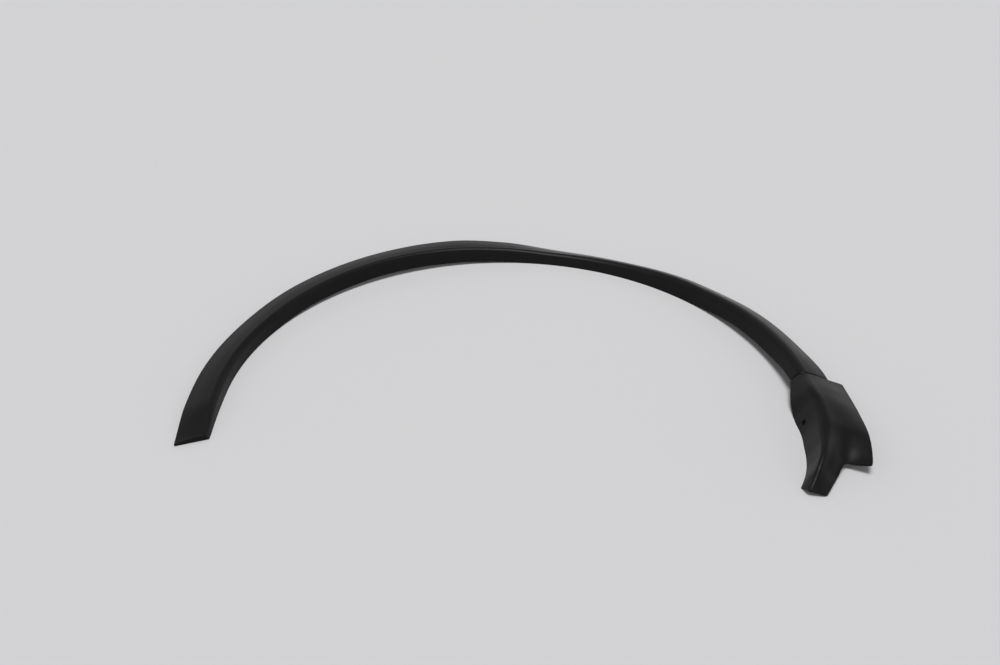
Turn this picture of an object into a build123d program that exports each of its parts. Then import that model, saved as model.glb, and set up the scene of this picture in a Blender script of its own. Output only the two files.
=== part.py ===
import os
from math import atan2, cos, degrees, hypot, pi, radians, sin, tan

from build123d import *

# Wheel arch trim, lying face up as it comes to rest. The origin is on the wheel's axis, +Z is outboard,
# and angles run anticlockwise about the wheel's axis from +X. Sizes are in millimetres and degrees.

# Plan of the wheel opening
opening_radius = 408.0  # circle that the flange edge follows
tail_angle = 195.0  # plain end of the arch at its outer corner
tail_heel = 0.5  # the flange ends this much sooner
tail_flare = 11.0  # the flange leaves its circle by this much at the tail
tail_flare_span = 16.0  # over this angle
seam_angle = 1.5  # joint between the two mouldings
seam_flare = 7.5
seam_flare_span = 35.0

# Section of the arch moulding
arch_wall = 3.0
tail_wall = 2.5  # closes the tail's end down to the flange edge
face_crown = 1.0  # rise of the face above the straight line between its edges
tail_lean = 3.5  # how far the flange wall leans outwards
seam_lean = 13.5

# Stations of the arch from the tail to the seam: share of the way round, lift of the flange edge,
# height of the flange wall, width of the face, its drop to the outer edge, radius of the fold
arch_stations = [
    (0.00, 0.0, 8.5, 42.5, 5.0, 6.5),
    (0.05, 0.0, 19.5, 44.0, 10.0, 9.0),
    (0.18, 0.0, 24.0, 41.5, 8.0, 9.0),
    (0.28, 4.5, 25.0, 42.5, 7.0, 9.0),
    (0.39, 7.0, 25.5, 42.5, 6.0, 9.0),
    (0.48, 5.0, 24.5, 43.0, 4.0, 9.0),
    (0.54, 2.0, 23.0, 42.0, 7.0, 9.0),
    (0.61, 0.0, 20.5, 41.5, 15.0, 10.0),
    (0.69, 0.0, 23.5, 42.0, 19.5, 13.0),
    (0.79, 0.0, 30.0, 42.5, 21.0, 16.0),
    (0.88, 9.8, 26.2, 42.0, 21.5, 17.0),
    (0.94, 12.0, 25.0, 41.0, 21.5, 17.0),
    (1.00, 18.0, 16.5, 40.5, 14.0, 16.0),
]

# Section of the end moulding
end_wall = 2.6
apron_reach = 74.0  # from the corner of the fold to the untrimmed edge of the apron
seam_inner = 0.4  # the seam runs at a slant, from this turn at the flange
seam_outer = 1.0  # to this turn at the outer edge
seam_gap = 2.0
seam_proud = 0.6  # the end moulding stands this much above the arch's face

# Stations of the end moulding below the seam: turn from the seam, flange edge beyond the opening's circle,
# lift of the flange edge, lean and height of its wall, width and drop to the middle of the face,
# drop to the untrimmed edge, fold radius
lower_stations = [
    (6.5, 0.6, 9.4, 21.0, 30.0, 32.0, 9.0, 27.0, 12.0),
    (10.5, 3.0, 0.0, 23.0, 40.0, 31.0, 7.5, 26.0, 14.0),
    (15.5, 10.7, 0.0, 20.0, 40.0, 30.0, 11.0, 21.0, 13.0),
    (19.0, 14.4, 0.0, 18.5, 38.5, 27.5, 17.5, 19.0, 10.0),
    (22.5, 19.0, 0.0, 16.5, 36.5, 25.0, 25.0, 19.0, 6.0),
    (25.5, 21.5, 0.0, 14.5, 31.0, 22.0, 26.0, 20.0, 4.0),
    (27.5, 22.0, 0.0, 13.0, 24.5, 20.5, 20.0, 16.0, 4.0),
    (29.5, 22.0, 0.0, 12.0, 14.0, 20.0, 10.5, 8.0, 4.0),
    (32.0, 21.5, 0.0, 11.0, 7.5, 19.0, 4.0, 3.0, 4.0),
]

# Trimmed outline of the end moulding in plan, as distance beyond the opening's circle and turn from the seam
apron_top = (82.5, 1.2)
apron_side = (89.2, 12.5)  # the edge is straight down to here
apron_foot = (99.2, 22.4)
notch = (66.0, 22.1)
notch_fillet = 7.0
leg_foot = (54.5, 30.5)
leg_tip = (32.0, 31.6)
leg_heel = (20.0, 30.1)
corner_fillet = 4.0
trim_margin = 28.0  # the outline passes inside the opening's circle by this much
trim_height = 80.0

# Screw hole through the flange wall of the end moulding
screw_hole = 9.0
screw_turn = 13.1
screw_share = 0.275  # of the way up the wall

# Lap joint: a tongue on the arch reaches under the end moulding
lap_length = 20.0
lap_root = 10.0
lap_thickness = 2.0
lap_clearance = 0.2
lap_share = 0.8  # of the face's inner half

# Clip seats on the hidden side, each a small box with a slot that a clip's neck slides into
seat_count = 8
seat_first = 178.0
seat_last = 30.0
end_seat_turns = [9.5, 16.5]
seat_height = 3.0  # of the plate above the flange edge
seat_inset = 22.0  # from the fold's corner to the slot's end
seat_depth = 20.0
seat_width = 20.0
seat_wall = 1.8
seat_plate = 2.2
seat_slot = 7.4
seat_reach = 60.0

# Gussets between the flange wall and the face
gusset_thickness = 1.6
gusset_height = 6.0
gusset_length = 10.0

# Spans of the lofts
arch_spans = 64
end_spans = 28


def between(low, high, share):
    return low + (high - low) * share


def radial_plane(angle):
    turn = radians(angle)
    return Plane((0, 0, 0), x_dir=(cos(turn), sin(turn), 0), z_dir=(sin(turn), -cos(turn), 0))


def right_of(direction):
    return direction.rotate(Axis.Z, -90)


# Plane of a section that starts at one angle with its flange and ends at another with its edge
def slant_plane(section, flange_radius, flange_angle, edge_angle):
    start = radial_plane(flange_angle).from_local_coords((flange_radius, 0))
    finish = radial_plane(edge_angle).from_local_coords((section[3].X, 0))
    slant = (finish - start).normalized()
    return Plane(start - slant * section[0].X, x_dir=slant, z_dir=right_of(slant))


def on_plan(beyond, turn):
    angle = radians(seam_angle - turn)
    radius = opening_radius + beyond
    return (radius * cos(angle), radius * sin(angle))


# Place on the end moulding's side of the seam
def at_seam(beyond):
    share = (beyond - seam_flare) / (seam_edge.X - seam_flange.X)
    return on_plan(beyond, between(seam_inner, seam_outer, share) + gap_turn)


# Rate of change at a station between its neighbours, level where the values turn back
def rate(before, here, after):
    rise = (here[1] - before[1]) / (here[0] - before[0])
    fall = (after[1] - here[1]) / (after[0] - here[0])
    return 2 * rise * fall / (rise + fall) if rise * fall > 0 else 0


# Station at a place between the listed ones, each value on a smooth curve that never overshoots
def station_at(stations, place):
    last = len(stations) - 2
    i = max(k for k in range(last + 1) if k == 0 or stations[k][0] <= place)
    low, high = stations[i], stations[i + 1]
    span = high[0] - low[0]
    t = (place - low[0]) / span
    values = [place]
    for column in range(1, len(low)):
        curve = [(station[0], station[column]) for station in stations]
        start_rate = rate(curve[i - 1], curve[i], curve[i + 1]) if i > 0 else 0
        end_rate = rate(curve[i], curve[i + 1], curve[i + 2]) if i < last else 0
        values.append(
            between(low[column], high[column], t * t * (3 - 2 * t))
            + span * t * (1 - t) * (start_rate * (1 - t) - end_rate * t)
        )
    return values


def arch_section(angle):
    share = (tail_angle - angle) / (tail_angle - seam_angle)
    _, lift, height, width, drop, fold = station_at(arch_stations, share)
    tail_part = max(0, 1 - (tail_angle - angle) / tail_flare_span)
    seam_part = max(0, 1 - (angle - seam_angle) / seam_flare_span)
    flange = Vector(opening_radius + tail_flare * tail_part**2 + seam_flare * seam_part**2, lift)
    corner = flange + Vector(between(tail_lean, seam_lean, share**2), height)
    edge = corner + Vector(width, -drop)
    middle = (corner + edge) / 2 + Vector(0, face_crown)
    return flange, corner, middle, edge, fold


def end_section(turn):
    _, out, lift, lean, height, middle_width, middle_drop, edge_drop, fold = station_at(end_stations, turn)
    flange = Vector(opening_radius + out, lift)
    corner = flange + Vector(lean, height)
    middle = corner + Vector(middle_width, -middle_drop)
    edge = corner + Vector(apron_reach, -edge_drop)
    return flange, corner, middle, edge, fold


def end_section_at(angle):
    return end_section(seam_angle - angle)


# Points of the section's skin moved inwards by a depth, and the directions of the face at its ends
def skin(section, depth):
    flange, corner, middle, edge, fold = section
    up = (corner - flange).normalized()
    out = (middle - corner).normalized()
    run = (edge - middle).normalized()
    back = fold / tan(radians((flange - corner).get_angle(middle - corner)) / 2)
    fold_start = corner - up * back
    centre = fold_start + right_of(up) * fold
    apex = centre + (corner - centre).normalized() * (fold - depth)
    points = [
        flange + Vector(depth / up.Y, 0),
        fold_start + right_of(up) * depth,
        apex,
        corner + out * back + right_of(out) * depth,
        middle + right_of((edge - corner).normalized()) * depth,
        edge + right_of(run) * depth,
    ]
    return points, (out, run)


def skin_line(points, directions):
    flange, fold_start, apex, fold_end, middle, edge = points
    Line(flange, fold_start)
    ThreePointArc(fold_start, apex, fold_end)
    Spline(fold_end, middle, edge, tangents=directions)


def shell_profile(plane, section, outer, inner):
    outside, directions = skin(section, outer)
    inside, _ = skin(section, inner)
    with BuildSketch(plane) as profile:
        with BuildLine():
            skin_line(outside, directions)
            Line(outside[-1], inside[-1])
            skin_line(inside, directions)
            Line(inside[0], outside[0])
        make_face()
    return profile.sketch


# Point on the end moulding's flange wall at a share of its height
def wall_point(turn, share):
    flange, corner = end_section(turn)[:2]
    return radial_plane(seam_angle - turn).from_local_coords(between(flange, corner, share))


# Height of the middle of the wall under the face at a radius
def face_height(section, wall, radius):
    fold_end, middle, edge = skin(section, wall / 2)[0][3:]
    start, finish = (fold_end, middle) if radius < middle.X else (middle, edge)
    return between(start.Y, finish.Y, (radius - start.X) / (finish.X - start.X))


# A clip seat stands on the hidden side, and its top follows the middle of the moulding's wall
def clip_seat(angle, section_at, wall):
    flange, corner = section_at(angle)[:2]
    across = radial_plane(angle)
    base = flange.Y + seat_height
    centre = corner.X + seat_inset
    near = centre - seat_depth / 2
    far = centre + seat_depth / 2
    plate = Plane(across.from_local_coords((centre, base, 0)), x_dir=across.x_dir, z_dir=(0, 0, 1))
    with BuildPart() as seat:
        for side in (-seat_width / 2, seat_width / 2):
            tops = []
            for x in (far, near):
                section = section_at(angle - degrees(atan2(side, x)))
                tops.append((x, face_height(section, wall, hypot(x, side))))
            with BuildSketch(across.offset(side)):
                with BuildLine():
                    Polyline((near, base), (far, base), *tops, close=True)
                make_face()
        loft(ruled=True)
        with BuildSketch(plate.offset(seat_plate)):
            with Locations((0, -seat_wall)):
                Rectangle(seat_depth - 2 * seat_wall, seat_width)
        extrude(amount=seat_reach, mode=Mode.SUBTRACT)
        with BuildSketch(plate):
            Circle(seat_slot / 2)
            with Locations((0, -seat_width / 2)):
                Rectangle(seat_slot, seat_width)
        extrude(amount=seat_plate, mode=Mode.SUBTRACT)
    return seat.part


def gusset(angle, section, wall):
    flange, fold_start, apex, fold_end, middle, _ = skin(section, wall / 2)[0]
    low = fold_start + (flange - fold_start).normalized() * gusset_height
    out = fold_end + (middle - fold_end).normalized() * gusset_length
    with BuildPart() as web:
        with BuildSketch(radial_plane(angle)):
            with BuildLine():
                Polyline(low, fold_start, apex, fold_end, out, close=True)
            make_face()
        extrude(amount=gusset_thickness / 2, both=True)
    return web.part


seam_flange, seam_corner, seam_middle, seam_edge, seam_fold = arch_section(seam_angle)
seam_face = seam_edge.X - seam_corner.X
face_slope = (seam_corner.Y - seam_edge.Y) / seam_face
end_stations = [
    (
        0.0,
        seam_flare,
        seam_flange.Y,
        seam_lean,
        seam_corner.Y - seam_flange.Y,
        seam_face / 2,
        seam_corner.Y - seam_middle.Y,
        face_slope * apron_reach,
        seam_fold,
    )
] + lower_stations
end_turn = end_stations[-1][0]

arch_angles = [between(tail_angle, seam_angle, i / arch_spans) for i in range(arch_spans + 1)]
end_turns = [end_turn * i / end_spans for i in range(end_spans + 1)]
seat_angles = [between(seat_first, seat_last, i / (seat_count - 1)) for i in range(seat_count)]
seat_pitch = (seat_first - seat_last) / (seat_count - 1)
degrees_per_length = 180 / (pi * opening_radius)
gap_turn = seam_gap * degrees_per_length

# Both ends of the arch are cut at a slant, so their sections' planes run from flange to edge in plan
tail_section = arch_section(tail_angle)
heel_angle = tail_angle - tail_heel
tail_plane = slant_plane(tail_section, arch_section(heel_angle)[0].X, heel_angle, tail_angle)
seam_section = arch_section(seam_angle)
seam_plane = slant_plane(seam_section, seam_flange.X, seam_angle - seam_inner, seam_angle - seam_outer)

arch_profiles = [shell_profile(tail_plane, tail_section, 0, arch_wall)]
for angle in arch_angles[1:-1]:
    arch_profiles.append(shell_profile(radial_plane(angle), arch_section(angle), 0, arch_wall))
arch_profiles.append(shell_profile(seam_plane, seam_section, 0, arch_wall))
tail_points, tail_directions = skin(tail_section, arch_wall / 2)
arch_backs = []
for angle in seat_angles:
    gusset_angle = angle - seat_pitch / 2
    arch_backs.append(clip_seat(angle, arch_section, arch_wall))
    arch_backs.append(gusset(gusset_angle, arch_section(gusset_angle), arch_wall))

lap_top = end_wall - seam_proud + lap_clearance
lap_points = []
for depth, order in ((lap_top, 1), (lap_top + lap_thickness, -1)):
    fold_end, middle = skin(arch_section(seam_angle), depth)[0][3:5]
    lap_points += [fold_end, between(fold_end, middle, lap_share)][::order]

with BuildPart() as arch_moulding:
    add(arch_profiles)
    loft(ruled=True)
    with BuildSketch(tail_plane):
        with BuildLine():
            skin_line(tail_points, tail_directions)
            Polyline(tail_points[-1], (tail_points[-1].X, tail_points[0].Y), tail_points[0])
        make_face()
    extrude(amount=tail_wall)
    add(arch_backs)
    for reach in (lap_root, -lap_length):
        with BuildSketch(radial_plane(seam_angle + reach * degrees_per_length)):
            with BuildLine():
                Polyline(lap_points, close=True)
            make_face()
    loft()
arch_moulding.part.label = "arch_moulding"

end_profiles = []
for turn in end_turns:
    plane = radial_plane(seam_angle - turn)
    end_profiles.append(shell_profile(plane, end_section(turn), -seam_proud, end_wall - seam_proud))
end_backs = [clip_seat(seam_angle - turn, end_section_at, end_wall) for turn in end_seat_turns]

# The screw hole goes square through the flange wall
screw_point = wall_point(screw_turn, screw_share)
screw_up = wall_point(screw_turn, 1) - screw_point
hole_turn = screw_hole / 2 * degrees_per_length
before, after = [wall_point(screw_turn + turn, screw_share) for turn in (-hole_turn, hole_turn)]
screw_along = after - before
screw_plane = Plane(screw_point, x_dir=screw_along, z_dir=screw_along.cross(screw_up))

with BuildPart() as end_moulding:
    add(end_profiles)
    loft(ruled=True)
    add(end_backs)
    with BuildSketch() as outline:
        shoulder = at_seam(seam_edge.X - opening_radius)
        top, side, foot = [on_plan(*place) for place in (apron_top, apron_side, apron_foot)]
        leg = [on_plan(*place) for place in (notch, leg_foot, leg_tip, leg_heel)]
        inside = [on_plan(-trim_margin, leg_heel[1]), at_seam(-trim_margin)]
        with BuildLine():
            edge = Line(top, side)
            TangentArc(side, foot, tangent=edge % 1)
            Polyline(foot, *leg, *inside, shoulder, top)
        make_face()
        for corner in (top, foot, leg[1], leg[2]):
            fillet(outline.vertices().sort_by_distance(corner)[0], corner_fillet)
        fillet(outline.vertices().sort_by_distance(leg[0])[0], notch_fillet)
    extrude(amount=trim_height, both=True, mode=Mode.INTERSECT)
    with BuildSketch(screw_plane):
        Circle(screw_hole / 2)
    extrude(amount=2 * end_wall, both=True, mode=Mode.SUBTRACT)
end_moulding.part.label = "end_moulding"

os.makedirs("parts", exist_ok=True)
for piece in (arch_moulding, end_moulding):
    export_step(piece.part, f"parts/{piece.part.label}.step")
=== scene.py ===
from math import radians

import bpy
import numpy as np
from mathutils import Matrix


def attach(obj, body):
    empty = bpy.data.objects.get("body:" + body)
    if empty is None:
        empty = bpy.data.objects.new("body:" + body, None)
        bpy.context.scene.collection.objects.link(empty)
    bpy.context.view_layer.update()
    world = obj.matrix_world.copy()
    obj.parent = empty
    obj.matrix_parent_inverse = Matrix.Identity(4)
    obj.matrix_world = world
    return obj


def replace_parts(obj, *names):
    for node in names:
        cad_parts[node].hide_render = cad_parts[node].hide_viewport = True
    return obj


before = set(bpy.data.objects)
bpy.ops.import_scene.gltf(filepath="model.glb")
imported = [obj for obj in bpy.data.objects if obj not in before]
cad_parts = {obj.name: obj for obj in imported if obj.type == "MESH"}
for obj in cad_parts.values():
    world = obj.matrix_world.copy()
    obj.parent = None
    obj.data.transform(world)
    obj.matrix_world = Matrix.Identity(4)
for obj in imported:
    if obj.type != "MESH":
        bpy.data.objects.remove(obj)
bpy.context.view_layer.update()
print("frame loaded:", sorted(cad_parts))

# Sizes are in millimetres and degrees about the wheel's axis, and meshes are written in metres.
mm = 0.001

opening = {
    "radius": 408.0,  # circle that the flange edge follows
    "tailAngle": 195.0,
    "tailHeel": 0.5,  # the flange ends this much sooner
    "tailFlare": 11.0,
    "tailFlareSpan": 16.0,
    "seamAngle": 1.5,
    "seamFlare": 7.5,
    "seamFlareSpan": 35.0,
    "seamInner": 0.4,  # the seam runs at a slant, from this turn at the flange
    "seamOuter": 1.0,  # to this turn at the outer edge
    "seamRound": 1.6,  # rounding of both edges along the seam
    "roundTurns": (20, 45, 70, 90),  # where the rounding has its rows
}


# Values at any places between listed stations: cubic pieces whose slope at a station is the harmonic mean
# of the slopes on its two sides, or level where the values turn back, so that no curve overshoots.
def stationCurves(stations, places):
    table = np.array(stations, float)
    x, y = table[:, 0], table[:, 1:]
    steps = np.diff(x)[:, None]
    slopes = np.diff(y, axis=0) / steps
    both = slopes[:-1] * slopes[1:]
    total = slopes[:-1] + slopes[1:]
    rates = np.zeros_like(y)
    rates[1:-1] = np.where(both > 0, 2 * both / np.where(total == 0, 1, total), 0)
    i = np.clip(np.searchsorted(x, places, side="right") - 1, 0, len(x) - 2)
    t = ((places - x[i]) / (x[i + 1] - x[i]))[:, None]
    ease = t * t * (3 - 2 * t)
    bow = steps[i] * t * (1 - t) * (rates[i] * (1 - t) - rates[i + 1] * t)
    return (y[i] + (y[i + 1] - y[i]) * ease + bow).T


# Vectors divided by their own lengths
def unit(vectors):
    return vectors / np.linalg.norm(vectors, axis=-1, keepdims=True)


# Plane vectors turned by a right angle to the right: (x, y) becomes (y, -x)
def rightOf(vectors):
    return np.stack([vectors[..., 1], -vectors[..., 0]], axis=-1)


# Points of many sections at once, each as radius and height. Up to q = 1 a section climbs the flange wall,
# from 1 to 2 it turns through the fold's arc, and beyond 2 it follows the face: two cubics that meet at the
# face's middle, where q is 3, and end at its edge, where q is 4. Each section is moved out of its wall by
# proud, which is one value, or one for each section.
def sectionPoints(flange, corner, middle, edge, fold, q, proud):
    up, out, run = unit(corner - flange), unit(middle - corner), unit(edge - middle)
    halfTurn = np.arccos(np.clip(np.sum(-up * out, -1), -1, 1)) / 2
    back = (fold / np.tan(halfTurn))[:, None]
    foldStart = corner - up * back
    centre = foldStart + rightOf(up) * fold[:, None]
    foldEnd = corner + out * back
    proud = np.reshape(proud, (-1, 1)) + np.zeros((len(up), 1))
    low = flange - np.concatenate([proud / up[:, 1:], np.zeros_like(proud)], -1)
    start = foldStart - rightOf(up) * proud
    faceStart = foldEnd - rightOf(out) * proud
    across = unit(edge - corner)
    mid = middle - rightOf(across) * proud
    tip = edge - rightOf(run) * proud

    wall = np.clip(q, 0, 1)[..., None]
    points = low[:, None] + (start - low)[:, None] * wall
    sweep = (np.pi - 2 * halfTurn)[:, None] * np.clip(q - 1, 0, 1)
    radius = (fold[:, None] + proud)[..., None]
    outwards = -rightOf(up)[:, None]
    level, climb = np.cos(sweep)[..., None], np.sin(sweep)[..., None]
    arc = centre[:, None] + radius * (outwards * level + up[:, None] * climb)
    points = np.where((q > 1)[..., None], arc, points)
    first = np.linalg.norm(mid - faceStart, axis=-1)[:, None]
    second = np.linalg.norm(tip - mid, axis=-1)[:, None]
    midway = unit(out * second + run * first)
    for begin, finish, leave, arrive, length, offset in (
        (faceStart, mid, out, midway, first, 2),
        (mid, tip, midway, run, second, 3),
    ):
        t = (q - offset)[..., None]
        h = t * t * (3 - 2 * t)
        curve = begin[:, None] + (finish - begin)[:, None] * h
        bow = (leave * length)[:, None] * (1 - t) - (arrive * length)[:, None] * t
        curve = curve + bow * t * (1 - t)
        points = np.where((q > offset)[..., None], curve, points)
    return points


# The q of a section's points, from how many lie on the wall, the fold and the face
def sectionColumns(wall, fold, face):
    return np.concatenate([np.linspace(0, 1, wall), np.linspace(1, 2, fold)[1:], np.linspace(2, 4, face)[1:]])


# Places in metres: radius times the cosine and the sine of the angle about the wheel's axis, and the height
def onWheel(radius, height, angle):
    turn = np.radians(angle)
    return np.stack([radius * np.cos(turn), radius * np.sin(turn), height + 0 * turn], -1) * mm


# A quarter circle along the seam's edges: a row's distance from the edge is the radius less its sine part,
# and its depth below the skin is the radius less its cosine part.
def seamRows():
    turn = np.radians(opening["roundTurns"])
    return opening["seamRound"] * (1 - np.sin(turn)), opening["seamRound"] * (1 - np.cos(turn))


# Quads over a grid of points, row by row, as one array of corners
def gridFaces(rows, columns):
    index = np.arange(rows * columns).reshape(rows, columns)
    return np.stack([index[:-1, :-1], index[:-1, 1:], index[1:, 1:], index[1:, :-1]], -1).reshape(-1, 4)


# Closes a skin into a wall: the inner faces are turned round, and each edge that only one face has gets a
# face that joins the two skins.
def closedWall(outer, inner, faces):
    count = len(outer)
    edges = np.stack([faces, np.roll(faces, -1, axis=1)], -1).reshape(-1, 2)
    rim = edges[~np.isin(edges[:, 0] * count + edges[:, 1], edges[:, 1] * count + edges[:, 0])]
    sides = np.stack([rim[:, 1], rim[:, 0], rim[:, 0] + count, rim[:, 1] + count], -1)
    return np.concatenate([outer, inner]), np.concatenate([faces, faces[:, ::-1] + count, sides]).tolist()


# A closed prism between two rings of points, turned so that its faces look outwards
def prism(low, high):
    aside = low - low.mean(0)
    if np.cross(aside, np.roll(aside, -1, axis=0)).sum(0) @ (high - low).mean(0) < 0:
        low, high = low[::-1], high[::-1]
    ring = np.arange(len(low))
    after = np.roll(ring, -1)
    sides = np.stack([ring, after, after + len(low), ring + len(low)], -1)
    return np.concatenate([low, high]), [ring[::-1].tolist(), (ring + len(low)).tolist(), *sides.tolist()]


bevelling = {
    "segments": 2,
    "sharp": 50,  # edges that turn more than this are rounded
}


# One smooth piece from several shapes, with every sharp edge rounded
def newPiece(name, shapes, rim):
    starts = np.cumsum([0] + [len(points) for points, _ in shapes])
    faces = [[int(start) + k for k in face] for start, shape in zip(starts, shapes) for face in shape[1]]
    mesh = bpy.data.meshes.new(name)
    mesh.from_pydata(np.concatenate([points for points, _ in shapes]).tolist(), [], faces)
    mesh.polygons.foreach_set("use_smooth", np.full(len(mesh.polygons), True))
    mesh.materials.append(trimPlastic)
    piece = bpy.data.objects.new(name, mesh)
    bpy.context.scene.collection.objects.link(piece)
    bevel = piece.modifiers.new("rim", "BEVEL")
    bevel.width = rim * mm
    bevel.segments = bevelling["segments"]
    bevel.limit_method = "ANGLE"
    bevel.angle_limit = radians(bevelling["sharp"])
    bevel.harden_normals = True
    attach(piece, "root")
    return piece


plastic = {
    "colour": (0.0075, 0.0075, 0.008),
    "paler": (0.010, 0.010, 0.0105),
    "roughness": (0.27, 0.35),
    "specular": 0.08,
    "patches": 14,  # of the broad noise, to a metre
    "patchDetail": 4,
    "patchRange": (0.3, 0.7),  # values of the broad noise between which the roughness changes
    "grain": 0.9,  # size of the moulded grain
    "grainDetail": 3,
    "grainDepth": 0.035,
}


# Satin black plastic: slow changes of shade and gloss from a broad noise, and a moulded grain as bump from
# a fine noise, all on the object's own coordinates.
def blackPlastic():
    material = bpy.data.materials.new("black_plastic_grained")
    material.use_nodes = True
    nodes, links = material.node_tree.nodes, material.node_tree.links
    shader = nodes["Principled BSDF"]
    shader.inputs["Specular IOR Level"].default_value = plastic["specular"]
    place = nodes.new("ShaderNodeTexCoord")
    broad = nodes.new("ShaderNodeTexNoise")
    broad.inputs["Scale"].default_value = plastic["patches"]
    broad.inputs["Detail"].default_value = plastic["patchDetail"]
    shade = nodes.new("ShaderNodeMix")
    shade.data_type = "RGBA"
    shade.inputs["A"].default_value = (*plastic["colour"], 1)
    shade.inputs["B"].default_value = (*plastic["paler"], 1)
    gloss = nodes.new("ShaderNodeMapRange")
    gloss.inputs["From Min"].default_value, gloss.inputs["From Max"].default_value = plastic["patchRange"]
    gloss.inputs["To Min"].default_value, gloss.inputs["To Max"].default_value = plastic["roughness"]
    grain = nodes.new("ShaderNodeTexNoise")
    grain.inputs["Scale"].default_value = 1 / (plastic["grain"] * mm)
    grain.inputs["Detail"].default_value = plastic["grainDetail"]
    bump = nodes.new("ShaderNodeBump")
    bump.inputs["Strength"].default_value = 1
    bump.inputs["Distance"].default_value = plastic["grainDepth"] * mm
    links.new(place.outputs["Object"], broad.inputs["Vector"])
    links.new(place.outputs["Object"], grain.inputs["Vector"])
    links.new(broad.outputs["Fac"], shade.inputs["Factor"])
    links.new(broad.outputs["Fac"], gloss.inputs["Value"])
    links.new(shade.outputs["Result"], shader.inputs["Base Color"])
    links.new(gloss.outputs["Result"], shader.inputs["Roughness"])
    links.new(grain.outputs["Fac"], bump.inputs["Height"])
    links.new(bump.outputs["Normal"], shader.inputs["Normal"])
    return material


trimPlastic = blackPlastic()
print("material made")

arch = {
    "wall": 3.0,
    "crown": 1.0,  # rise of the face above the straight line between its edges
    "tailLean": 3.5,
    "seamLean": 13.5,
    "rim": 0.6,
    "slantSpan": 3.0,  # the slants of both ends die out over this angle
    "tailWall": 2.5,  # closes the tail's end
    "rows": 560,
    "columns": (9, 15, 25),  # on the wall, the fold and the face
    "tailColumns": (2, 9, 13),
    # share of the way round, lift of the flange edge, height of its wall, width of the face, its drop, fold
    "stations": [
        (0.00, 0.0, 8.5, 42.5, 5.0, 6.5),
        (0.05, 0.0, 19.5, 44.0, 10.0, 9.0),
        (0.18, 0.0, 24.0, 41.5, 8.0, 9.0),
        (0.28, 4.5, 25.0, 42.5, 7.0, 9.0),
        (0.39, 7.0, 25.5, 42.5, 6.0, 9.0),
        (0.48, 5.0, 24.5, 43.0, 4.0, 9.0),
        (0.54, 2.0, 23.0, 42.0, 7.0, 9.0),
        (0.61, 0.0, 20.5, 41.5, 15.0, 10.0),
        (0.69, 0.0, 23.5, 42.0, 19.5, 13.0),
        (0.79, 0.0, 30.0, 42.5, 21.0, 16.0),
        (0.88, 9.8, 26.2, 42.0, 21.5, 17.0),
        (0.94, 12.0, 25.0, 41.0, 21.5, 17.0),
        (1.00, 18.0, 16.5, 40.5, 14.0, 16.0),
    ],
}


# Corner points of the arch's section at many angles, each as radius and height. Both flares grow with the
# square of the nearness to their end, and the wall's lean with the square of the share of the way round.
def archSections(angles):
    share = (opening["tailAngle"] - angles) / (opening["tailAngle"] - opening["seamAngle"])
    lift, height, width, drop, fold = stationCurves(arch["stations"], share)
    tailPart = np.clip(1 - (opening["tailAngle"] - angles) / opening["tailFlareSpan"], 0, 1)
    seamPart = np.clip(1 - (angles - opening["seamAngle"]) / opening["seamFlareSpan"], 0, 1)
    reach = opening["radius"] + opening["tailFlare"] * tailPart**2 + opening["seamFlare"] * seamPart**2
    flange = np.stack([reach, lift], -1)
    lean = arch["tailLean"] + (arch["seamLean"] - arch["tailLean"]) * share**2
    corner = flange + np.stack([lean, height], -1)
    edge = corner + np.stack([width, -drop], -1)
    middle = (corner + edge) / 2 + np.array([0, arch["crown"]])
    return flange, corner, middle, edge, fold


# Places of the arch's section at many angles and q. Near both ends each section is turned about the axis, by
# a different turn at its flange and at its edge, so that the ends are cut at a slant: the turn grows with the
# square of the nearness to the end.
def archPlaces(angles, q, proud):
    sections = archSections(angles)
    points = sectionPoints(*sections, np.tile(q, (len(angles), 1)), proud)
    flange, edge = sections[0][:, :1], sections[3][:, :1]
    reach = (points[..., 0] - flange) / (edge - flange)
    nearTail = np.clip(1 - (opening["tailAngle"] - angles) / arch["slantSpan"], 0, 1)[:, None]
    nearSeam = np.clip(1 - (angles - opening["seamAngle"]) / arch["slantSpan"], 0, 1)[:, None]
    seamTurn = opening["seamInner"] + (opening["seamOuter"] - opening["seamInner"]) * reach
    slant = opening["tailHeel"] * nearTail**2 * (1 - reach) + seamTurn * nearSeam**2
    return onWheel(points[..., 0], points[..., 1], angles[:, None] - slant)


# The arch's section carried round the wheel from the tail to the seam, as a wall whose seam edge is rounded
def archWall():
    fromSeam, depths = seamRows()
    fromSeam, span = (np.degrees(length / opening["radius"]) for length in (fromSeam, opening["seamRound"]))
    plain = np.linspace(opening["tailAngle"], opening["seamAngle"] + span, arch["rows"])
    angles = np.concatenate([plain, opening["seamAngle"] + fromSeam])
    depths = np.concatenate([np.zeros(arch["rows"]), depths])
    q = sectionColumns(*arch["columns"])
    outer, inner = (archPlaces(angles, q, -depth).reshape(-1, 3) for depth in (depths, arch["wall"]))
    return closedWall(outer, inner, gridFaces(len(angles), len(q))[:, ::-1])


# The wall that closes the tail: the section's outline in mid wall, closed by a line straight down from the
# face's edge to the flange's height
def tailEnd():
    q = sectionColumns(*arch["tailColumns"])
    skin = archPlaces(np.array([opening["tailAngle"]]), q, -arch["wall"] / 2)[0]
    ring = np.concatenate([skin, [[*skin[-1, :2], skin[0, 2]]]])
    along = np.cross(unit(skin[-1] - skin[0]) * (1, 1, 0), (0, 0, 1))
    return prism(ring, ring + unit(along) * arch["tailWall"] * mm)


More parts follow.
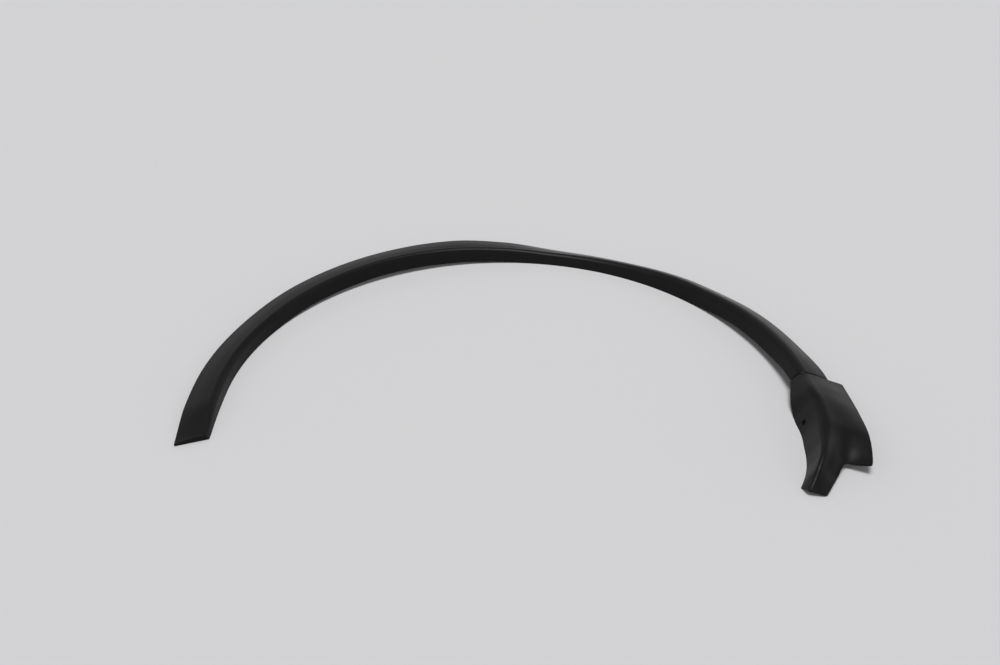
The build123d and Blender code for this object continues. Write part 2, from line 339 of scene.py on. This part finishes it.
seat = {
    "first": 178.0,
    "last": 30.0,
    "count": 8,
    "endTurns": (9.5, 16.5),
    "height": 3.0,  # of the plate above the flange edge
    "inset": 22.0,  # from the fold's corner to the slot's end
    "depth": 20.0,
    "width": 20.0,
    "wall": 1.8,
    "plate": 2.2,
    "slot": 7.4,
    "slotPoints": 17,  # round its end
    "gusset": 1.6,
    "gussetHeight": 6.0,
    "gussetLength": 10.0,
}


# Plan points beside a place on the wheel: x along the radius, y along the rim
def beside(radius, angle, points, heights):
    turn = np.radians(angle)
    out, along = np.array([np.cos(turn), np.sin(turn)]), np.array([-np.sin(turn), np.cos(turn)])
    plan = (radius + points[:, :1]) * out + points[:, 1:] * along
    return np.column_stack([plan, heights + np.zeros(len(points))]) * mm


# Height of the middle of the wall under the face, for one section and radius at a time: straight from the
# fold's end to the face's middle, and from there to its edge
def faceHeights(sections, wall, radii):
    q = np.tile([2.0, 3.0, 4.0], (len(radii), 1))
    rows = sectionPoints(*sections, q, -wall / 2)
    return np.array([np.interp(radius, row[:, 0], row[:, 1]) for radius, row in zip(radii, rows)])


# A clip seat on the hidden side: three walls whose tops follow the middle of the face's wall, taken between
# its heights at the seat's four corners, and a plate with a slot that is round at its end and open at one
# side
def clipSeat(angle, sectionsAt, wall):
    flange, corner = sectionsAt(np.array([angle]))[:2]
    base, centre = flange[0, 1] + seat["height"], corner[0, 0] + seat["inset"]
    x, y, slot = seat["depth"] / 2, seat["width"] / 2, seat["slot"] / 2
    inX, inY = x - seat["wall"], y - seat["wall"]
    outX, outY = centre + np.array([-x, x, -x, x]), np.array([-y, -y, y, y])
    corners = sectionsAt(angle + np.degrees(np.arctan2(outY, outX)))
    heights = faceHeights(corners, wall, np.hypot(outX, outY)).reshape(2, 2)
    walls = np.array([(-x, -y), (-inX, -y), (-inX, inY), (inX, inY), (inX, -y), (x, -y), (x, y), (-x, y)])
    across, along = (walls / (x, y) / 2 + 0.5).T
    tops = (1 - along) * ((1 - across) * heights[0, 0] + across * heights[0, 1])
    tops += along * ((1 - across) * heights[1, 0] + across * heights[1, 1])
    turn = np.linspace(np.pi, 0, seat["slotPoints"])
    roundEnd = slot * np.stack([np.cos(turn), np.sin(turn)], -1)
    before, after = [(-inX, -y), (-slot, -y)], [(slot, -y), (inX, -y), (inX, inY), (-inX, inY)]
    plate = np.concatenate([before, roundEnd, after])
    return [
        prism(beside(centre, angle, walls, base), beside(centre, angle, walls, tops)),
        prism(beside(centre, angle, plate, base), beside(centre, angle, plate, base + seat["plate"])),
    ]


# A thin web across the fold, between the flange wall and the face. It follows the fold in mid wall, and its
# two tips lie at given lengths down the wall and out along the face.
def gusset(angle, section, wall):
    q = np.array([[0, 1, 1.25, 1.5, 1.75, 2, 3]])
    flange, *curve, middle = sectionPoints(*section, q, -wall / 2)[0]
    low = curve[0] + unit(flange - curve[0]) * seat["gussetHeight"]
    out = curve[-1] + unit(middle - curve[-1]) * seat["gussetLength"]
    web = np.array([low, *curve, out])
    sides = [np.column_stack([web[:, 0], np.full(len(web), side)]) for side in (-1, 1)]
    return prism(*(beside(0, angle, side * (1, seat["gusset"] / 2), web[:, 1]) for side in sides))


lap = {
    "length": 20.0,
    "root": 10.0,
    "top": 2.2,  # below the arch's face
    "thickness": 2.0,
    "qLow": 0.15,  # from this q on the flange wall
    "qHigh": 3.85,  # to this one near the edge of the face
    "points": 9,  # on the fold, and as many on the face
}


# The tongue that reaches from the arch under the end moulding and closes the seam: it follows the flange
# wall, the fold and the face
def lapTongue():
    section = archSections(np.array([opening["seamAngle"]]))
    fold, face = np.linspace(1, 2, lap["points"]), np.linspace(2, lap["qHigh"], lap["points"])[1:]
    q = np.concatenate([[lap["qLow"]], fold, face])[None]
    depths = lap["top"], lap["top"] + lap["thickness"]
    upper, lower = (sectionPoints(*section, q, -depth)[0] for depth in depths)
    ring = np.concatenate([upper, lower[::-1]])
    turns = np.degrees(np.array([lap["root"], -lap["length"]]) / opening["radius"])
    return prism(*(onWheel(ring[:, 0], ring[:, 1], opening["seamAngle"] + turn) for turn in turns))


# The whole arch moulding: wall, tail's end, tongue, and the seats and gussets in turn along its hidden side
def archSkin():
    shapes = [archWall(), tailEnd(), lapTongue()]
    seatAngles = np.linspace(seat["first"], seat["last"], seat["count"])
    for angle in seatAngles:
        shapes += clipSeat(angle, archSections, arch["wall"])
        between = angle + (seatAngles[1] - seatAngles[0]) / 2
        shapes.append(gusset(between, archSections(np.array([between])), arch["wall"]))
    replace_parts(newPiece("arch_skin", shapes, arch["rim"]), "arch_moulding")


archSkin()
print("arch made")

end = {
    "wall": 2.6,
    "reach": 74.0,  # from the corner of the fold to the untrimmed edge of the apron
    "gap": 2.0,
    "proud": 0.6,  # stands this much above the arch's face
    "rim": 0.5,
    "rows": 260,
    "columns": (40, 16, 60),  # over the wall, the fold and the face
    # turn from the seam, flange edge beyond the opening's circle, lift of the flange edge, lean and height
    # of its wall, width and drop to the middle of the face, drop to the untrimmed edge, fold
    "stations": [
        (6.5, 0.6, 9.4, 21.0, 30.0, 32.0, 9.0, 27.0, 12.0),
        (10.5, 3.0, 0.0, 23.0, 40.0, 31.0, 7.5, 26.0, 14.0),
        (15.5, 10.7, 0.0, 20.0, 40.0, 30.0, 11.0, 21.0, 13.0),
        (19.0, 14.4, 0.0, 18.5, 38.5, 27.5, 17.5, 19.0, 10.0),
        (22.5, 19.0, 0.0, 16.5, 36.5, 25.0, 25.0, 19.0, 6.0),
        (25.5, 21.5, 0.0, 14.5, 31.0, 22.0, 26.0, 20.0, 4.0),
        (27.5, 22.0, 0.0, 13.0, 24.5, 20.5, 20.0, 16.0, 4.0),
        (29.5, 22.0, 0.0, 12.0, 14.0, 20.0, 10.5, 8.0, 4.0),
        (32.0, 21.5, 0.0, 11.0, 7.5, 19.0, 4.0, 3.0, 4.0),
    ],
    # outline in plan: distance beyond the opening's circle and turn from the seam
    "apronTop": (82.5, 1.2),
    "apronSide": (89.2, 12.5),  # straight down to here, then an arc to the foot
    "apronFoot": (99.2, 22.4),
    "notch": (66.0, 22.1),
    "legFoot": (54.5, 30.5),
    "legTip": (32.0, 31.6),
    "legHeel": (22.0, 30.35),
    "sidePoints": 8,  # steps of the arc down the apron's side
    "cornerCut": 4.5,
    "notchCut": 8.0,
    "cutPoints": 13,  # on each rounded corner
    # turn at the flange from which the rows run to the side, the foot, the notch and the leg's foot
    "rowTurns": (9.0, 14.5, 20.5, 30.35),
    "hole": 9.0,
    "holeTurn": 13.1,
    "holeShare": 0.275,  # of the way up the wall
    "holeSpan": 0.5,  # the wall's slope is taken over this turn on both sides
    "halvings": 40,  # when a q is looked for
    "seamPasses": 4,  # when the seam's turns are looked for
}
# The first station is the arch's own section at the seam.
seamFlange, seamCorner, seamMiddle, seamEdge, seamFold = archSections(np.array([opening["seamAngle"]]))
seamWidth, seamDrop = (seamEdge - seamCorner)[0] * (1, -1)
end["stations"].insert(0, (
    0.0, opening["seamFlare"], seamFlange[0, 1], *(seamCorner - seamFlange)[0],
    *(seamMiddle - seamCorner)[0] * (1, -1), seamDrop / seamWidth * end["reach"], seamFold[0],
))


# Corner points of the end moulding's section at many turns below the seam
def endSections(turns):
    out, lift, lean, height, midWidth, midDrop, edgeDrop, fold = stationCurves(end["stations"], turns)
    flange = np.stack([opening["radius"] + out, lift], -1)
    corner = flange + np.stack([lean, height], -1)
    middle = corner + np.stack([midWidth, -midDrop], -1)
    edge = corner + np.stack([np.full(len(turns), end["reach"]), -edgeDrop], -1)
    return flange, corner, middle, edge, fold


# The same sections at angles about the wheel's axis
def endSectionsAt(angles):
    return endSections(opening["seamAngle"] - angles)


# Radius and height at each turn and q, on a skin that stands proud of the sections
def endPoints(turns, q, proud=end["proud"]):
    flat = sectionPoints(*endSections(turns.ravel()), q.reshape(-1, 1), np.ravel(proud))[:, 0]
    return flat.reshape(*turns.shape, 2)


# The q at which each section reaches a radius, found by halving, since the radius grows with q
def reachAt(turns, radii):
    low, high = np.zeros_like(turns), np.full_like(turns, 4.0)
    for _ in range(end["halvings"]):
        half = (low + high) / 2
        short = endPoints(turns, half)[..., 0] < radii
        low, high = np.where(short, half, low), np.where(short, high, half)
    return low


# Plan point at a distance beyond the opening's circle and a turn below the seam
def onPlan(beyond, turn):
    angle = radians(opening["seamAngle"] - turn)
    return (opening["radius"] + beyond) * np.array([np.cos(angle), np.sin(angle)])


# A path through plan points, with each corner that has a cut replaced by a parabola that starts and ends
# that far from it. Also gives the index of each corner's middle.
def cutCorners(points, cuts):
    points = np.array(points)
    path, middles = [], []
    share = np.linspace(0, 1, end["cutPoints"])[:, None]
    for i, cut in enumerate(cuts):
        middles.append(sum(map(len, path)) + (len(share) // 2 if cut else 0))
        if cut:
            before = points[i] + unit(points[i - 1] - points[i]) * cut
            after = points[i] + unit(points[i + 1] - points[i]) * cut
            path.append(before * (1 - share) ** 2 + points[i] * 2 * share * (1 - share) + after * share**2)
        else:
            path.append(points[i : i + 1])
    return np.concatenate(path), middles


# Length of a path up to each of its points
def lengthsAlong(path):
    return np.concatenate([[0], np.cumsum(np.linalg.norm(np.diff(path, axis=0), axis=-1))])


# Points at given lengths along a path
def alongPath(path, lengths):
    own = lengthsAlong(path)
    return np.stack([np.interp(lengths, own, path[:, k]) for k in range(path.shape[1])], -1)


# Plan points as turn from the seam and q on the section there
def turnAndReach(path):
    turns = opening["seamAngle"] - np.degrees(np.arctan2(path[:, 1], path[:, 0]))
    return np.stack([turns, reachAt(turns, np.linalg.norm(path, axis=-1))], -1)


# The arc that leaves one plan point along a direction and ends at another: its radius is the chord squared
# over twice the chord's part across the direction.
def tangentArc(start, direction, finish, count):
    normal = np.array([-direction[1], direction[0]])
    chord = finish - start
    radius = chord @ chord / (2 * chord @ normal)
    centre = start + normal * radius
    spread = 2 * np.arctan2(chord @ normal, chord @ direction)
    turn = np.linspace(0, spread, count + 1)[:, None]
    return centre + radius * (direction * np.sin(turn) - normal * np.cos(turn))


# Turn of the end moulding's side of the seam at each radius: a straight slant from the flange to the edge
def seamTurnAt(radii):
    share = (radii - seamFlange[0, 0]) / (seamEdge - seamFlange)[0, 0]
    turn = opening["seamInner"] + (opening["seamOuter"] - opening["seamInner"]) * share
    return turn + np.degrees(end["gap"] / opening["radius"])


# The four sides of the end moulding's skin as turn and q: the flange edge, the seam side up to the apron's
# top, the trimmed outer side, and the end of the leg. The rows lie at the shares s of the flange edge.
def endSides(columns, s):
    wallQ = np.concatenate([np.linspace(0, 1, columns[0] + 1), np.linspace(1, 2, columns[1] + 1)[1:]])
    face = np.linspace(0, 1, columns[2] + 1)[1:]
    shoulder = onPlan(seamEdge[0, 0] - opening["radius"], seamTurnAt(seamEdge[0, 0]))
    top, side, foot, notch, legFoot, legTip, heel = (
        onPlan(*end[name])
        for name in ("apronTop", "apronSide", "apronFoot", "notch", "legFoot", "legTip", "legHeel")
    )
    arc = tangentArc(side, unit(side - top), foot, end["sidePoints"])[1:-1]
    cut, notchCut = end["cornerCut"], end["notchCut"]
    points = [shoulder, top, side, *arc, foot, notch, legFoot, legTip, heel]
    cuts = [0, cut, 0, *np.zeros(len(arc)), cut, notchCut, cut, cut, 0]
    path, middles = cutCorners(points, cuts)
    atTop, atSide, atFoot, atNotch, atLeg = (middles[i] for i in (1, 2, -5, -4, -3))

    seamTurns = np.full(len(wallQ), opening["seamInner"])
    for _ in range(end["seamPasses"]):
        radii = endPoints(seamTurns, wallQ)[:, 0]
        seamTurns = seamTurnAt(radii)
    seamPath = np.concatenate([[onPlan(radii[-1] - opening["radius"], seamTurns[-1])], path[: atTop + 1]])
    seamFace = turnAndReach(alongPath(seamPath, face * lengthsAlong(seamPath)[-1]))
    seamSide = np.concatenate([np.stack([seamTurns, wallQ], -1), seamFace])

    legPath = turnAndReach(path[atLeg:][::-1])
    legPath[0, 1] = 0
    legWall = np.stack([np.interp(wallQ, legPath[:, 1], legPath[:, 0]), wallQ], -1)
    legReach = 2 + (legPath[-1, 1] - 2) * face
    legFace = np.stack([np.interp(legReach, legPath[:, 1], legPath[:, 0]), legReach], -1)
    legSide = np.concatenate([legWall, legFace])

    flangeTurns = seamTurns[0] + (end["legHeel"][1] - seamTurns[0]) * s
    outer = path[atTop : atLeg + 1]
    marks = lengthsAlong(outer)[[0, atSide - atTop, atFoot - atTop, atNotch - atTop, -1]]
    rowTurns = seamTurns[0], *end["rowTurns"]
    outerSide = turnAndReach(alongPath(outer, np.interp(flangeTurns, rowTurns, marks)))
    return flangeTurns, seamSide, outerSide, legSide, np.concatenate([np.zeros(len(wallQ)), face])


# The end moulding's wall: rows that run from the flange edge to the trimmed outline. Turn and q are blended
# between the four sides, and each point lies on the section at its own turn. The seam edge is rounded.
def endWall():
    fromSeam, depths = seamRows()
    length = opening["radius"] * radians(end["legHeel"][1])
    plain = np.linspace(opening["seamRound"] / length, 1, end["rows"])
    shares = np.concatenate([fromSeam[::-1] / length, plain])
    depths = np.concatenate([depths[::-1], np.zeros(end["rows"])])
    flangeTurns, seamSide, outerSide, legSide, blend = endSides(end["columns"], shares)
    s = shares[:, None, None]
    b = blend[None, :, None]
    flangeSide = np.stack([flangeTurns, np.zeros(len(shares))], -1)
    inner = flangeSide[:, None] - (1 - s) * flangeSide[0] - s * flangeSide[-1]
    outer = outerSide[:, None] - (1 - s) * outerSide[0] - s * outerSide[-1]
    net = (1 - s) * seamSide + s * legSide + inner * (1 - b) + outer * b
    skins = []
    for depth in (depths, np.full(len(shares), end["wall"])):
        points = endPoints(net[..., 0], net[..., 1], np.repeat(end["proud"] - depth, net.shape[1]))
        places = onWheel(points[..., 0], points[..., 1], opening["seamAngle"] - net[..., 0])
        skins.append(places.reshape(-1, 3))
    return closedWall(*cutHole(*skins, gridFaces(*net.shape[:2])[:, ::-1]))


# A round hole: the faces whose middles lie inside the circle about the hole's axis are dropped, and the
# points round the gap are moved square to the axis onto the circle, on both skins.
def cutHole(outer, inner, faces):
    turns = end["holeTurn"] + end["holeSpan"] * np.array([0, 0, -1, 1])
    flange, corner = endSections(turns)[:2]
    share = np.array([end["holeShare"], 1, end["holeShare"], end["holeShare"]])[:, None]
    spots = flange + (corner - flange) * share
    spots = onWheel(spots[:, 0], spots[:, 1], opening["seamAngle"] - turns)
    axis = unit(np.cross(spots[3] - spots[2], spots[1] - spots[0]))
    radius = end["hole"] / 2 * mm
    skins, asides = [outer.copy(), inner.copy()], []
    for places in skins:
        aside = places - spots[0]
        asides.append(aside - (aside @ axis)[:, None] * axis)
    near = np.linalg.norm(outer - spots[0], axis=-1) < end["hole"] * mm
    inside = (np.linalg.norm(asides[0][faces].mean(1), axis=-1) < radius) & near[faces].all(1)
    ring = np.intersect1d(faces[inside], faces[~inside])
    for places, aside in zip(skins, asides):
        places[ring] += aside[ring] * (radius / np.linalg.norm(aside[ring], axis=-1) - 1)[:, None]
    kept = faces[~inside]
    used = np.unique(kept)
    renumber = np.zeros(len(outer), int)
    renumber[used] = np.arange(len(used))
    return skins[0][used], skins[1][used], renumber[kept]


# The whole end moulding: wall and seats
def endSkin():
    shapes = [endWall()]
    for turn in seat["endTurns"]:
        shapes += clipSeat(opening["seamAngle"] - turn, endSectionsAt, end["wall"])
    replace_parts(newPiece("end_skin", shapes, end["rim"]), "end_moulding")


endSkin()
print("end made")

bpy.context.view_layer.update()

view = {
    "place": (-0.0115, -1.129, 0.8134),
    "pitch": 32.08,  # below level
    "yaw": -0.18,
    "lens": 34.2,
    "sensor": 36,
    "nearest": 0.01,
}


# The camera as it was solved from the photo
def photoCamera():
    camera = bpy.data.objects.new("camera", bpy.data.cameras.new("camera"))
    camera.data.lens = view["lens"]
    camera.data.sensor_width = view["sensor"]
    camera.data.clip_start = view["nearest"]
    camera.location = view["place"]
    camera.rotation_euler = (radians(90 - view["pitch"]), 0, radians(view["yaw"]))
    bpy.context.scene.collection.objects.link(camera)
    bpy.context.scene.camera = camera


studio = {
    "floor": (0.54, 0.54, 0.55),
    "floorRoughness": 0.9,
    "floorSize": 60.0,  # in metres
    "floorPoints": 5,  # along each side
    "key": 2.6,  # strength of the overhead light
    "keySpread": 30.0,
    "backdrop": 0.72,  # brightness all round, from the floor up
    "ceiling": 0.2,
    "backdropTop": (0.42, 0.66),  # sine of the elevation where the backdrop starts and ends fading
}


# A broad pale floor, flat and square, as a grid
def paleFloor():
    count = studio["floorPoints"]
    side = np.linspace(-0.5, 0.5, count) * studio["floorSize"]
    x, y = np.meshgrid(side, side)
    points = np.stack([x, y, np.zeros_like(x)], -1)
    material = bpy.data.materials.new("pale_floor")
    material.use_nodes = True
    shader = material.node_tree.nodes["Principled BSDF"]
    shader.inputs["Base Color"].default_value = (*studio["floor"], 1)
    shader.inputs["Roughness"].default_value = studio["floorRoughness"]
    mesh = bpy.data.meshes.new("floor")
    mesh.from_pydata(points.reshape(-1, 3).tolist(), [], gridFaces(count, count).tolist())
    mesh.materials.append(material)
    floor = bpy.data.objects.new("floor", mesh)
    bpy.context.scene.collection.objects.link(floor)


# An even soft light from overhead
def keyLight():
    lamp = bpy.data.lights.new("keyLight", "SUN")
    lamp.energy = studio["key"]
    lamp.angle = radians(studio["keySpread"])
    light = bpy.data.objects.new("keyLight", lamp)
    bpy.context.scene.collection.objects.link(light)


# A white backdrop all round that fades upwards into a darker ceiling
def backdrop():
    world = bpy.data.worlds.new("studio")
    world.use_nodes = True
    nodes, links = world.node_tree.nodes, world.node_tree.links
    shader = nodes["Background"]
    shader.inputs["Color"].default_value = (1, 1, 1, 1)
    direction = nodes.new("ShaderNodeTexCoord")
    parts = nodes.new("ShaderNodeSeparateXYZ")
    fade = nodes.new("ShaderNodeMapRange")
    fade.interpolation_type = "SMOOTHSTEP"
    fade.inputs["From Min"].default_value, fade.inputs["From Max"].default_value = studio["backdropTop"]
    fade.inputs["To Min"].default_value = studio["backdrop"]
    fade.inputs["To Max"].default_value = studio["ceiling"]
    links.new(direction.outputs["Generated"], parts.inputs["Vector"])
    links.new(parts.outputs["Z"], fade.inputs["Value"])
    links.new(fade.outputs["Result"], shader.inputs["Strength"])
    bpy.context.scene.world = world


photoCamera()
paleFloor()
keyLight()
backdrop()
bpy.context.scene.view_settings.view_transform = "Standard"
print("stage, light and camera made")
